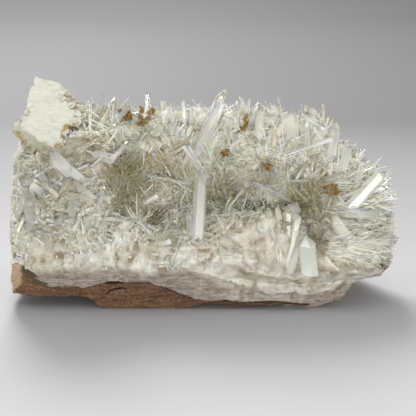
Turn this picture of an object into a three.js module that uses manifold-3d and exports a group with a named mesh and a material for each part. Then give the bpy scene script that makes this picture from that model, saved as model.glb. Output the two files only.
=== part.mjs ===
// A lithium quartz cluster: a slab of brown host rock, a bed of milky quartz that carries a thicket of
// clear crystals, a cream feldspar block at one end, and small ochre grains of iron carbonate in the thicket.
//
// Millimetres, +Z up, +X to the right along the cluster, +Y to its back. The origin is on the flat foot of
// the host rock, under the middle of the cluster. The quartz bed and its crystals grew together, so they are
// one solid. Rock, feldspar and grains are other minerals: each is a solid of its own, a small gap away.

import * as THREE from "three";
import { mergeVertices } from "three/addons/utils/BufferGeometryUtils.js";
import { ImprovedNoise } from "three/addons/math/ImprovedNoise.js";
import Module from "manifold-3d";

const wasm = await Module();
wasm.setup();

// ---- Driving dimensions ----
const LEFT = -86; // the broken left end, an almost flat face
const RIGHT = 88; // the tip of the right end
const FRONT = -44;
const BACK = 44;
const CREST = 67; // height of the bed under the thicket
const LEDGE = 14; // height of the low front edge
const SLAB = 12; // thickness of the host rock at its left front
const SLAB_THIN = 3.2; // its thickness at the right
const SLAB_RIGHT = 47; // where the host rock ends and the quartz stands on its own foot
const LEFT_LIFT = 5; // how far the left end hangs clear of the table
const EDGE_LIFT = 1.8; // how far the right front edge hangs clear of it
const LIP_RISE = 16; // how far the underside rises to the right tip
const THICKET = 8; // how much of the needles' depth stands here as a solid mass
const SEAM = 0.5; // gap between two minerals
const SINK = 5; // how deep a crystal's root lies in the bed
const TIP_SLOPE = 1.2; // height of a crystal's pyramid over its radius

const { lerp, smoothstep, seededRandom } = THREE.MathUtils;
const noise = new ImprovedNoise();

// ---- Helpers ----

// A value between low and high from the seeded stream.
const between = (low, high) => lerp(low, high, seededRandom());

// A geometry with positions only, its equal vertices merged into one.
function welded(geometry) {
  const bare = geometry.clone();
  bare.deleteAttribute("normal");
  bare.deleteAttribute("uv");
  return mergeVertices(bare, 1e-4);
}

// The same surface moved outward by an amount, for the pocket that a piece sits in.
function grown(geometry, amount) {
  const wider = welded(geometry);
  wider.computeVertexNormals();
  const at = wider.attributes.position;
  const out = wider.attributes.normal;
  for (let i = 0; i < at.count; i++) {
    at.setXYZ(
      i,
      at.getX(i) + amount * out.getX(i),
      at.getY(i) + amount * out.getY(i),
      at.getZ(i) + amount * out.getZ(i),
    );
  }
  return wider;
}

// A three.js geometry as a solid, without the faces that have no area.
function toSolid(geometry) {
  const merged = welded(geometry);
  const kept = [];
  for (let i = 0; i < merged.index.count; i += 3) {
    const [a, b, c] = merged.index.array.slice(i, i + 3);
    if (a !== b && b !== c && c !== a) kept.push(a, b, c);
  }
  return new wasm.Manifold(
    new wasm.Mesh({
      numProp: 3,
      vertProperties: merged.attributes.position.array,
      triVerts: new Uint32Array(kept),
    }),
  );
}

function toGeometry(solid) {
  const { vertProperties, triVerts } = solid.getMesh();
  const geometry = new THREE.BufferGeometry();
  geometry.setAttribute("position", new THREE.BufferAttribute(vertProperties, 3));
  geometry.setIndex(new THREE.BufferAttribute(triVerts, 1));
  return geometry;
}

// The largest piece of a solid, without crumbs that a cut has freed.
function largest(solid) {
  return solid.decompose().reduce((a, b) => (b.volume() > a.volume() ? b : a));
}

// A gridded box whose points place(u, v, w) puts where they belong; u, v and w run from 0 to 1.
function rockGeometry(segments, place) {
  const geometry = new THREE.BoxGeometry(1, 1, 1, ...segments);
  const at = geometry.attributes.position;
  for (let i = 0; i < at.count; i++) {
    const point = place(at.getX(i) + 0.5, at.getY(i) + 0.5, at.getZ(i) + 0.5);
    at.setXYZ(i, ...point);
  }
  return geometry;
}

// Moves a point by smooth noise, so that flat walls turn into broken rock.
function roughen([x, y, z], amount, size, seed) {
  const move = (offset) =>
    amount * 1.6 * noise.noise(x / size + seed, y / size + offset, z / size - seed);
  return [x + move(3.1), y + move(17.7), z + move(41.3)];
}

// A rounded hill or, with a negative rise, a hollow.
function hill(x, y, { at, rise, wide, deep }) {
  return rise * Math.exp(-(((x - at[0]) / wide) ** 2) - ((y - at[1]) / deep) ** 2);
}

// ---- Host rock ----

// Top of the host rock: thick at the left, thin at the right, rising to the back.
function seamHeight(x, y) {
  const taper = 1 - smoothstep(x, -30, 4);
  const leftLip = 1 - smoothstep(x, LEFT, -68);
  const backRise = smoothstep(y, -30, 36) * (1 - smoothstep(x, 10, SLAB_RIGHT));
  return SLAB_THIN + (SLAB - SLAB_THIN) * taper + 8 * leftLip + 10 * backRise;
}

// Underside of the host rock: a flat foot, with the left end and the right front edge clear of the table.
function slabUnderside(x, y) {
  const leftLift = LEFT_LIFT * (1 - smoothstep(x, -54, -45));
  const edgeLift = EDGE_LIFT * (1 - smoothstep(y, -43, -36)) * smoothstep(x, -12, 0);
  return leftLift + edgeLift;
}

// Front of the slab: the left stretch is a scar, set back behind the hump beside it.
function slabFront(x, w) {
  const scar = 2.4 * (1 - smoothstep(x + 14 * (1 - w), -46, -38));
  const corner = 3 * (1 - smoothstep(x, LEFT - 1, -79));
  return FRONT - 1.2 + scar + corner + 2 * (1 - w);
}

function hostRock() {
  return rockGeometry([16, 7, 3], (u, v, w) => {
    const x = lerp(LEFT - 0.8, SLAB_RIGHT, u);
    const y = lerp(slabFront(x, w), BACK - 2 - 6 * u, v);
    const low = slabUnderside(x, y);
    const z = lerp(low, seamHeight(x, y), w);
    const onFoot = w === 0 && low < 0.01;
    return onFoot ? [x, y, 0] : roughen([x, y, z], 0.7, 9, 5.2);
  });
}

// ---- Quartz bed ----

const HILLS = [
  { at: [-34, -33], rise: 14, wide: 11, deep: 7 }, // sugary white hump at the front
  { at: [-23, -22], rise: -7, wide: 8, deep: 7 }, // hollow behind that hump
  { at: [-4, -33], rise: 3, wide: 8, deep: 6 }, // knob that carries the tall crystal
  { at: [28, -10], rise: -14, wide: 15, deep: 9 }, // recess right of the middle
  { at: [-20, -10], rise: -9, wide: 14, deep: 8 }, // recess left of the middle
  { at: [-8, 16], rise: 3, wide: 26, deep: 12 }, // crown
  { at: [58, -29], rise: 6, wide: 11, deep: 6 }, // knob at the right front
  { at: [28, -27], rise: 12, wide: 15, deep: 6 }, // mass that the blades rise from
  { at: [-58, 24], rise: -5, wide: 16, deep: 12 }, // dip behind the feldspar block
];

const bedFront = (x) =>
  FRONT + 10 * smoothstep(x, 62, 92) + 4 * (1 - smoothstep(x, LEFT, -74));
const bedBack = (x, w) =>
  BACK - 16 * smoothstep(x, 40, 90) - 4 * (1 - smoothstep(x, LEFT, -60)) - 7 * w;
const bedRight = (v) => RIGHT - 64 * (v - 0.35) ** 2;

// Top of the milky bed: a low front ledge, a steep climb and a rounded crest that falls to the right end.
function bedTop(x, y) {
  const ledge = LEDGE + 11 * smoothstep(y, -45, -33) * (1 - 0.8 * smoothstep(x, 5, 30));
  const leftness = 1 - smoothstep(x, -50, -32);
  const climb = smoothstep(y, lerp(-25, -43, leftness), lerp(11, -9, leftness));
  const crest = CREST - 42 * smoothstep(x, 46, 92) - 12 * smoothstep(y, 26, 44);
  const height = lerp(ledge, crest, climb);
  return HILLS.reduce((sum, h) => sum + hill(x, y, h), height);
}

// Underside of the bed: a little inside the host rock, then on its own foot, then rising to the right tip.
function bedUnderside(x, y) {
  const insideRock = seamHeight(x, y) - 1.5;
  const steep = 0.7 * smoothstep(x, 60, 71);
  const gentle = 0.3 * smoothstep(x, 71, 92);
  const edgeLift = EDGE_LIFT * 1.4 * (1 - smoothstep(y, -42, -37));
  return lerp(insideRock, LIP_RISE * (steep + gentle) + edgeLift, smoothstep(x, 36, 43));
}

// How much solid thicket stands on the bed: none on the front ledge and at the rim.
function thicket(x, y) {
  const inside = smoothstep(y, -34, -20) * (1 - smoothstep(y, 34, 44));
  return THICKET * inside * smoothstep(x, LEFT, -74) * (1 - smoothstep(x, 66, 84));
}

function quartzBed() {
  return rockGeometry([24, 12, 3], (u, v, w) => {
    const x = lerp(LEFT, bedRight(v), u);
    const y = lerp(bedFront(x), bedBack(x, w), v);
    const low = bedUnderside(x, y);
    const z = lerp(low, bedTop(x, y) + thicket(x, y), w);
    const broken = roughen([x, y, z], 1.8, 17, 8.1);
    const [rx, ry, rz] = roughen(broken, 1.1, 7, 1.7);
    return [rx, ry, w === 0 && low < 0.3 ? 0 : Math.max(rz, 0)];
  });
}

// ---- Crystals ----

// A six-sided quartz crystal along +Y with its root at the origin: a slightly tapered prism and a pyramid.
function crystalGeometry(length, radius, flat) {
  const tip = Math.min(TIP_SLOPE * radius, 0.6 * length);
  const profile = [
    new THREE.Vector2(0, 0),
    new THREE.Vector2(radius, 0),
    new THREE.Vector2(radius * 0.9, length - tip),
    new THREE.Vector2(0, length),
  ];
  return new THREE.LatheGeometry(profile, 6).scale(1, 1, flat);
}

// A crystal from a root to a tip, turned about its own axis by twist.
function crystal(root, tip, radius, flat = 1, twist = 0) {
  const axis = tip.clone().sub(root);
  const geometry = crystalGeometry(axis.length(), radius, flat).rotateY(twist);
  const turn = new THREE.Quaternion().setFromUnitVectors(
    new THREE.Vector3(0, 1, 0),
    axis.normalize(),
  );
  return toSolid(geometry.applyQuaternion(turn).translate(...root.toArray()));
}

// The large crystals, from where they leave the bed to their tips.
const LARGE_CRYSTALS = [
  { root: [-4, -31, 26], tip: [-2, -35, 61.5], radius: 3.9, flat: 0.9 }, // the tall one in front
  { root: [47, -35, 13], tip: [45, -41, 33.5], radius: 4.8, flat: 0.8, twist: 0.5 },
  { root: [36, -38, 11], tip: [45, -34, 36], radius: 2.2 },
  { root: [60, -28, 16], tip: [56, -34, 33], radius: 7, flat: 0.7, twist: 0.4 },
  { root: [22, -33, 13], tip: [30, -26, 43], radius: 5, flat: 0.6 },
  { root: [33, -31, 16], tip: [43, -23, 45], radius: 5.6, flat: 0.6 },
  { root: [38, -22, 28], tip: [58, -24, 46], radius: 4.4, flat: 0.7 },
  { root: [72, -20, 26], tip: [58, -26, 45], radius: 4.2, flat: 0.6 },
  { root: [14, -35, 16], tip: [10, -38, 30], radius: 4, flat: 0.7 },
  { root: [28, -34, 14], tip: [22, -36, 32], radius: 4.6, flat: 0.7 },
  { root: [15, -30, 22], tip: [19, -29, 38], radius: 4.2, flat: 0.7 },
  { root: [34, -24, 32], tip: [33, -26, 43], radius: 3.4, flat: 0.7 },
  { root: [46, -22, 28], tip: [49, -25, 43], radius: 5, flat: 0.7 },
  { root: [50, -26, 24], tip: [50, -31, 40], radius: 5, flat: 0.6 },
  { root: [66, -24, 22], tip: [66, -30, 38], radius: 5, flat: 0.7 },
  { root: [72, -26, 20], tip: [76, -31, 33], radius: 4.4, flat: 0.7 },
  { root: [-55, -18, 51], tip: [-68, -28, 68], radius: 3.2, flat: 0.8 },
  { root: [-84, -24, 26], tip: [-84.5, -18, 66], radius: 4.6, flat: 0.6 },
  { root: [-77, -30, 28], tip: [-80, -36, 52], radius: 4.2, flat: 0.7 },
  { root: [-72, -22, 38], tip: [-73, -30, 60], radius: 3.6, flat: 0.8 },
  { root: [-66, -30, 30], tip: [-77, -41, 34], radius: 2.2 },
  { root: [-62, -30, 34], tip: [-57, -40, 50], radius: 2.4 },
  { root: [-50, -28, 40], tip: [-44, -36, 58], radius: 2.6 },
  { root: [-1, 12, 62], tip: [8, 16, 88], radius: 3.6, flat: 0.8 },
  { root: [-28, 12, 66], tip: [-27.5, 14, 90], radius: 1.6 },
  { root: [-50, 22, 58], tip: [-52, 28, 83], radius: 4.6, flat: 0.7 },
  { root: [-44, 20, 60], tip: [-47, 26, 79], radius: 3 },
  { root: [18, 8, 66], tip: [15, 10, 87], radius: 1.3 },
  { root: [19, 8, 66], tip: [25, 8, 86], radius: 1.3 },
  { root: [34, 6, 58], tip: [31, 8, 78.5], radius: 3.6, flat: 0.8 },
  { root: [41, 4, 58], tip: [39, 10, 82], radius: 5.2, flat: 0.7 },
  { root: [46, 6, 58], tip: [45, 10, 78], radius: 3.2 },
  { root: [54, 2, 54], tip: [50, 6, 79], radius: 4, flat: 0.7 },
  { root: [56, 0, 54], tip: [61.5, 2, 77], radius: 3.6, flat: 0.8 },
  { root: [58, -2, 54], tip: [68, -2, 69], radius: 4.4, flat: 0.5, twist: 0.5 },
  { root: [68, -8, 42], tip: [74, -6, 62], radius: 2.2 },
  { root: [66, -10, 40], tip: [83, -10, 57], radius: 5, flat: 0.8 },
  { root: [66, -12, 36], tip: [85, -14, 46], radius: 1.3 },
  { root: [64, -15, 38], tip: [83, -18, 37], radius: 2.2 },
  { root: [74, -14, 24], tip: [90, -16, 26], radius: 6, flat: 0.8 },
  { root: [-8, -8, 50], tip: [-27, -15, 55], radius: 1.3 },
  { root: [9, 0, 58], tip: [16.5, -16, 47], radius: 2.4, flat: 0.7 },
  { root: [40, -6, 42], tip: [21, -15, 52], radius: 1.4 },
];

// Patches of the bed that bristle with smaller crystals, by their spans in x and y. Each has its crystals'
// lengths and radii, a lean that they share, and how far they stray from it.
const PATCHES = [
  {
    span: [[-45, 32], [8, 30]], // crown
    count: 15, length: [10, 15], radius: [1.5, 2.8], lean: [0, 0, 0.6], stray: 0.7,
  },
  {
    span: [[-46, 34], [-12, 6]], // brow, over the recesses
    count: 14, length: [13, 21], radius: [1.5, 2.8], lean: [0, -0.5, 0.3], stray: 0.8,
  },
  {
    span: [[-81, -44], [-36, -14]], // left wall
    count: 13, length: [10, 17], radius: [1.6, 3], lean: [0, -0.4, 0.3], stray: 1,
  },
  {
    span: [[-56, -38], [0, 34]], // beside the feldspar block
    count: 6, length: [10, 15], radius: [1.8, 3.2], lean: [0, 0, 0.6], stray: 0.6,
  },
  {
    span: [[30, 58], [-8, 24]], // right shoulder
    count: 10, length: [9, 13], radius: [2, 3.6], lean: [0.2, 0, 0.4], stray: 0.7,
  },
  {
    span: [[62, 82], [-24, 14]], // right end
    count: 10, length: [9, 17], radius: [1.4, 2.8], lean: [0.6, -0.1, 0.1], stray: 0.6,
  },
  {
    span: [[-24, 62], [-38, -18]], // front ledge
    count: 10, length: [8, 13], radius: [1.5, 3], lean: [0, -0.2, 0.3], stray: 0.9,
  },
  {
    span: [[-80, -58], [12, 34]], // behind the feldspar block
    count: 4, length: [9, 14], radius: [1.8, 3], lean: [-0.1, 0, 0.4], stray: 0.7,
  },
];

// Outward direction of the thicket's surface at a place of the bed.
function bedNormal(x, y) {
  const step = 3;
  const slopeX = (bedTop(x + step, y) - bedTop(x - step, y)) / (2 * step);
  const slopeY = (bedTop(x, y + step) - bedTop(x, y - step)) / (2 * step);
  return new THREE.Vector3(-slopeX, -slopeY, 1).normalize();
}

function patchCrystals({ span, count, length, radius, lean, stray }) {
  return Array.from({ length: count }, () => {
    const x = between(...span[0]);
    const y = between(...span[1]);
    const aside = new THREE.Vector3(between(-1, 1), between(-1, 1), between(-0.6, 1));
    const heading = bedNormal(x, y)
      .add(new THREE.Vector3(...lean))
      .addScaledVector(aside, stray)
      .normalize();
    const foot = new THREE.Vector3(x, y, bedTop(x, y) + thicket(x, y));
    const root = foot.clone().addScaledVector(heading, -SINK);
    const tip = foot.addScaledVector(heading, between(...length) - SINK);
    return crystal(root, tip, between(...radius), between(0.7, 1), between(0, 1));
  });
}

function largeCrystal({ root, tip, radius, flat, twist }) {
  const end = new THREE.Vector3(...tip);
  const foot = new THREE.Vector3(...root);
  const inward = foot.clone().sub(end).setLength(SINK);
  return crystal(foot.add(inward), end, radius, flat, twist);
}

// ---- Feldspar block ----

// Height, left edge and right edge of the block, from its foot up.
const BLOCK_OUTLINE = [
  [65, -81, -68.5],
  [69, -84.5, -65.5],
  [74, -86.5, -63.5],
  [79, -86.5, -58.5],
  [84, -82.5, -57],
  [89, -81, -62.5],
  [95, -79.5, -64],
  [100.5, -78, -66.5],
];

// A cream block that leans back, with a flat sloping face and a shelf half way up its right side.
function feldsparBlock() {
  const rows = BLOCK_OUTLINE.length - 1;
  return rockGeometry([5, 3, rows], (u, v, w) => {
    const [height, left, right] = BLOCK_OUTLINE[Math.round(w * rows)];
    const lean = 8 * w - 2 * (1 - smoothstep(w, 0, 0.4));
    const x = lerp(left, right, u);
    const y = lerp(-16 + lean, 5 + 2 * w, v);
    const z = height - 3.5 * (u + v) * smoothstep(w, 0.7, 1);
    return roughen([x, y, z], 0.7, 7, 9.7);
  });
}

// ---- Ochre grains ----

// Places of the iron carbonate grains in the thicket, each a small lump of rhombs.
const GRAIN_LUMPS = [
  { at: [-39, 14, 77], size: 2.6 },
  { at: [-29, 8, 77], size: 3 },
  { at: [20, 6, 75], size: 2 },
  { at: [9, -8, 63], size: 2.2 },
  { at: [29, -6, 56], size: 2 },
  { at: [58, -18, 48], size: 3 },
];

function grainLump({ at, size }, grow) {
  const grains = [0, 1].map((i) => {
    const width = size * (1.25 - 0.15 * i) + 2 * grow;
    const reach = i === 0 ? 0 : 0.55 * size;
    const grain = new THREE.BoxGeometry(width, width, width)
      .rotateX(0.6 + i)
      .rotateY(0.6 - i)
      .translate(
        at[0] + reach * Math.cos(i * 2.4),
        at[1] + reach * Math.sin(i * 2.4),
        at[2] + 0.3 * size * Math.sin(i * 1.9),
      );
    return toSolid(grain);
  });
  return wasm.Manifold.union(grains);
}

// ---- Assembly ----

const MATERIALS = {
  rock: new THREE.MeshStandardMaterial({ color: 0x6e5442, roughness: 0.9, metalness: 0 }),
  quartz: new THREE.MeshStandardMaterial({ color: 0xd9d7c8, roughness: 0.15, metalness: 0 }),
  feldspar: new THREE.MeshStandardMaterial({ color: 0xe2e1cf, roughness: 0.85, metalness: 0 }),
  ochre: new THREE.MeshStandardMaterial({ color: 0x9a6a2c, roughness: 0.8, metalness: 0 }),
};

const cluster = new THREE.Group();

function addPiece(name, geometry, material) {
  const mesh = new THREE.Mesh(geometry, material);
  mesh.name = name;
  cluster.add(mesh);
}

seededRandom(11);
const crystals = [...LARGE_CRYSTALS.map(largeCrystal), ...PATCHES.flatMap(patchCrystals)];
const pockets = [
  toSolid(grown(hostRock(), SEAM)),
  toSolid(grown(feldsparBlock(), SEAM)),
  ...GRAIN_LUMPS.map((lump) => grainLump(lump, SEAM)),
];
const quartz = pockets.reduce(
  (solid, pocket) => solid.subtract(pocket),
  wasm.Manifold.union([toSolid(quartzBed()), ...crystals]),
);

addPiece("host_rock", toGeometry(toSolid(hostRock())), MATERIALS.rock);
addPiece("quartz_cluster", toGeometry(largest(quartz)), MATERIALS.quartz);
addPiece("feldspar_block", toGeometry(toSolid(feldsparBlock())), MATERIALS.feldspar);
GRAIN_LUMPS.forEach((lump, i) =>
  addPiece(`ochre_grains_${i + 1}`, toGeometry(grainLump(lump, 0)), MATERIALS.ochre),
);

export default cluster;
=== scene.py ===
# %% [markdown]
# # A lithium quartz cluster
# This lesson dresses a packed mineral specimen. Clear quartz needles stand on a bed of milky quartz, which
# grew on brown host rock. A cream block of feldspar sits at one end, and ochre grains dot the needles.
# Everything is worked out in millimetres, in the frame's own axes, and goes into Blender in metres.

import math

import bpy
import numpy as np
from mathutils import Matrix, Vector


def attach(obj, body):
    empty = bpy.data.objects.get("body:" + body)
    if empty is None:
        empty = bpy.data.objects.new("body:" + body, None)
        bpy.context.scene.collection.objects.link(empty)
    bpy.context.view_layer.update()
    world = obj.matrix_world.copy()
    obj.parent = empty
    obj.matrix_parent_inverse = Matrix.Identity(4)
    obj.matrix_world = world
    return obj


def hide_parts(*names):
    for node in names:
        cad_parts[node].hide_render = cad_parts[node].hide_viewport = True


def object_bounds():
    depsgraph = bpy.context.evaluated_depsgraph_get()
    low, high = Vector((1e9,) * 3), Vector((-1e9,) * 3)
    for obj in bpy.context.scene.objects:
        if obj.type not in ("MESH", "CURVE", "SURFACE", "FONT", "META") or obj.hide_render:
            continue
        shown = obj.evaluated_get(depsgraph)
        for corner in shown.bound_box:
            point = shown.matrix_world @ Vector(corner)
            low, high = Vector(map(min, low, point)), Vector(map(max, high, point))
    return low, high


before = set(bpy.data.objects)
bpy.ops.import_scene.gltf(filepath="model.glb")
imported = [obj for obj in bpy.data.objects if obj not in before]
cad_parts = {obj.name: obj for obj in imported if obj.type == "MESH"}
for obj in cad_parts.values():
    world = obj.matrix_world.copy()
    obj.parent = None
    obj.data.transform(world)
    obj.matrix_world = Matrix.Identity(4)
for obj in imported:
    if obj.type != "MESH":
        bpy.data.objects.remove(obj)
cad_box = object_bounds()
MM = 0.001
BOX_LOW, BOX_HIGH = (np.array(corner) / MM for corner in cad_box)
print("CAD box in mm:", BOX_LOW.round(1), BOX_HIGH.round(1))

# %% [markdown]
# ## Noise
# Broken rock and sugary crust have no outline to draw, so noise makes them: smooth for swells, and cells for
# grains. Blender's textures could move the points too, but the finishes need the same numbers, to stain the
# hollows, so both are written once with numpy, for whole arrays.

# %% Smooth noise and cell noise
MIXERS = [np.uint64(factor) for factor in (0x9E3779B1, 0x85EBCA77, 0xC2B2AE3D, 0x27D4EB2F)]
STIRS = ((15, 0x2C1B3C6D), (12, 0x297A2D39))
WORD = np.uint64(0xFFFFFFFF)
TOP = 0xFFFFFF


def lerp(low, high, share):
    """The value that lies a share of the way from low to high."""
    return low + (high - low) * share


def smoothstep(x, start, end):
    """0 before start, 1 after end, and 3t^2 - 2t^3 between them."""
    t = np.clip((x - start) / (end - start), 0, 1)
    return t * t * (3 - 2 * t)


def fade(x, start, end):
    """1 before start, 0 after end, and the same curve between them, turned over."""
    return 1 - smoothstep(x, start, end)


def scatter(lattice, seed):
    """A number from 0 to 1 for each lattice point: its coordinates and the seed, mixed by odd factors."""
    x, y, z = (lattice[..., axis].astype(np.uint64) for axis in range(3))
    h = x * MIXERS[0] + y * MIXERS[1] + z * MIXERS[2] + np.uint64(seed) * MIXERS[3]
    for shift, factor in STIRS:
        h ^= h >> np.uint64(shift)
        h = h * np.uint64(factor) & WORD
    h ^= h >> np.uint64(STIRS[0][0])
    return (h & np.uint64(TOP)).astype(float) / TOP


def value_noise(points, size, seed):
    """Smooth noise from -1 to 1: random values on a lattice of the given size, blended inside each cube."""
    scaled = points / size
    base = np.floor(scaled).astype(np.int64)
    inside = scaled - base
    blend = inside**3 * (inside * (inside * 6 - 15) + 10)
    total = np.zeros(points.shape[:-1])
    for corner in np.ndindex(2, 2, 2):
        offset = np.array(corner)
        weight = np.prod(np.where(offset == 1, blend, 1 - blend), axis=-1)
        total += weight * scatter(base + offset, seed)
    return 2 * total - 1


def rough_noise(points, size, seed, octaves):
    """Layers of smooth noise, each half the size and half the strength of the one before."""
    return sum(value_noise(points, size / 2**k, seed + k) / 2**k for k in range(octaves))


def swells(points, size, seed, octaves, apart):
    """Rough noise as a push along each axis, read at three places apart."""
    pushes = [rough_noise(points + apart * axis, size, seed + axis, octaves) for axis in range(3)]
    return np.stack(pushes, axis=-1)


def cell_noise(points, size, seed):
    """Distance, in cubes, to the nearest random centre. Each lattice cube holds one."""
    scaled = points / size
    base = np.floor(scaled).astype(np.int64)
    nearest = np.full(points.shape[:-1], np.inf)
    for step in np.ndindex(3, 3, 3):
        cube = base + np.array(step) - 1
        centre = cube + np.stack([scatter(cube, seed + axis) for axis in range(3)], axis=-1)
        nearest = np.minimum(nearest, np.linalg.norm(scaled - centre, axis=-1))
    return nearest


print("noise at one point:", value_noise(np.full(3, 0.3), 1.0, 1).round(3))

# %% [markdown]
# ## From arrays to a piece
# A piece could be modelled by hand, but there are tens of thousands of crystals. So each piece is a set of
# arrays: its points, and faces of three, four or six corners. One helper turns them into an object.

# %% A piece from arrays
BOX_MARGIN = 0.02


def in_scene(name, data):
    """A new object with the given data, linked into the scene."""
    thing = bpy.data.objects.new(name, data)
    bpy.context.scene.collection.objects.link(thing)
    return thing


def new_piece(name, points, faces, material, replaces=(), smooth=False, values=None):
    """An object from points in mm and groups of faces. values are named numbers, one for each point."""
    points = np.clip(points, BOX_LOW + BOX_MARGIN, BOX_HIGH - BOX_MARGIN)
    corners = np.concatenate([group.ravel() for group in faces])
    counts = np.concatenate([np.full(len(group), group.shape[1]) for group in faces])
    starts = np.concatenate([[0], np.cumsum(counts)[:-1]])
    mesh = bpy.data.meshes.new(name)
    mesh.vertices.add(len(points))
    mesh.vertices.foreach_set("co", (points * MM).astype(np.float32).ravel())
    mesh.loops.add(len(corners))
    mesh.loops.foreach_set("vertex_index", corners.astype(np.int32))
    mesh.polygons.add(len(counts))
    mesh.polygons.foreach_set("loop_start", starts.astype(np.int32))
    mesh.polygons.foreach_set("use_smooth", np.full(len(counts), smooth))
    mesh.update(calc_edges=True)
    for key, numbers in (values or {}).items():
        layer = mesh.attributes.new(key, "FLOAT", "POINT")
        layer.data.foreach_set("value", np.asarray(numbers, np.float32).ravel())
    mesh.materials.append(material)
    piece = in_scene(name, mesh)
    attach(piece, "root")
    if replaces:
        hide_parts(*replaces)
    print(f"{name}: {int((counts - 2).sum())} triangles")


# %% [markdown]
# ## Materials
# Clear quartz bends light by 1.54 and has almost no colour. Milky quartz is the same stone full of tiny
# bubbles, so light scatters in it and comes out near by. Both could be one shader, but one needs transmission
# and the other scattering, so each finish has its own short function.

# %% A shader with its nodes
MIX_SOCKETS = (0, 6, 7)  # the share, the first colour and the second colour


def add_node(tree, kind, values=None, links=None, **settings):
    """A shader node with its settings, its socket values and the outputs linked to its sockets."""
    made = tree.nodes.new("ShaderNode" + kind)
    for key, value in settings.items():
        setattr(made, key, value)
    for key, value in (values or {}).items():
        made.inputs[key].default_value = value
    for key, source in (links or {}).items():
        tree.links.new(source, made.inputs[key])
    return made


class Finish:
    """A material with one Principled shader and short ways to add nodes to it."""

    def __init__(self, name, **sockets):
        self.material = bpy.data.materials.new(name)
        self.material.use_nodes = True
        self.tree = self.material.node_tree
        self.shader = self.tree.nodes["Principled BSDF"]
        for key, value in sockets.items():
            self.shader.inputs[key.replace("_", " ")].default_value = value
        self.place = self.node("TexCoord").outputs["Object"]
        self.colour = None

    def node(self, *details, **settings):
        """A node of this finish."""
        return add_node(self.tree, *details, **settings)

    def noise(self, size, detail=4.0, roughness=0.6, place=None):
        """A noise texture whose swells are about size millimetres wide."""
        values = {"Scale": 1 / (size * MM), "Detail": detail, "Roughness": roughness}
        return self.node("TexNoise", values, {"Vector": place or self.place}).outputs["Fac"]

    def squeezed(self, times):
        """The place stretched upright, so that a pattern on it lies in thin level layers."""
        return self.node("Mapping", {"Scale": (1, 1, times)}, {"Vector": self.place}).outputs["Vector"]

    def output(self, source):
        """An output as it is, or the output of a named number of the mesh's points."""
        if isinstance(source, str):
            return self.node("Attribute", attribute_name=source).outputs["Fac"]
        return source

    def ramp(self, source, *stops):
        """Colours or greys at places from 0 to 1 along the source."""
        made = self.node("ValToRGB", links={"Fac": self.output(source)})
        elements = made.color_ramp.elements
        while len(elements) < len(stops):
            elements.new(0.5)
        for element, (place, colour) in zip(elements, stops):
            element.position = place
            element.color = (*colour, 1) if isinstance(colour, tuple) else (colour,) * 3 + (1,)
        return made.outputs["Color"]

    def mix(self, share, first, second):
        """Two colours, each an output or three numbers, mixed by a share."""
        made = self.node("Mix", data_type="RGBA")
        for socket, source in zip(MIX_SOCKETS, (self.output(share), first, second)):
            if isinstance(source, tuple):
                made.inputs[socket].default_value = (*source, 1)
            else:
                self.tree.links.new(source, made.inputs[socket])
        return made.outputs[2]

    def cover(self, share, colour):
        """Another colour laid over the shader's colour so far, by a share."""
        self.colour = self.mix(share, self.colour, colour)
        self.link("Base Color", self.colour)

    def bump(self, height, depth):
        """Small relief, given as a depth in millimetres."""
        relief = self.node("Bump", {"Distance": depth * MM}, {"Height": height})
        self.link("Normal", relief.outputs["Normal"])

    def link(self, socket, source):
        """An output led to a socket of the shader."""
        self.tree.links.new(source, self.shader.inputs[socket])


# %% [markdown]
# ### Clear quartz
# Each needle grew out of milky stone, so it is cloudy at its root and clear at its tip. One glass for all
# would look like drinking straws. So the mesh carries a number called along, 0 at the root and 1 at the tip,
# and the shader lets light through by it.

# %% Clear quartz finishes
QUARTZ_IOR = 1.54
GLOW_DEPTH = 1.5 * MM
# OLIVE and TAN darken needles whose shade is high; in the recesses and under the block that darkening is
# partly painted shade.
OLIVE, TAN, WARM = (0.34, 0.31, 0.15), (0.5, 0.43, 0.28), (0.6, 0.51, 0.33)


def glowing(name, share, reach):
    """A quartz finish in which a share of the light goes in and comes out near by, as in milk."""
    glow = {"Subsurface_Weight": share, "Subsurface_Radius": reach, "Subsurface_Scale": GLOW_DEPTH}
    return Finish(name, IOR=QUARTZ_IOR, **glow)


def quartz_crystal(name, clean, stained, passing, roughness, glow):
    """Quartz whose shade mixes its colour from clean to stained; where the shade is high, in the recesses and
    under the block, the stained colour is partly painted shade. passing is how much light comes through at
    the root, the middle and the tip."""
    finish = glowing(name, glow, (1.0, 0.95, 0.8))
    stain = finish.mix(finish.ramp(finish.noise(30), (0.48, 0.0), (0.62, 1.0)), stained, WARM)
    finish.link("Base Color", finish.mix("shade", clean, stain))
    finish.link("Transmission Weight", finish.ramp("along", *zip((0.0, 0.5, 0.95), passing)))
    finish.link("Roughness", finish.ramp(finish.noise(2.5), (0.45, roughness), (0.7, roughness * 3)))
    return finish.material


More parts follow.
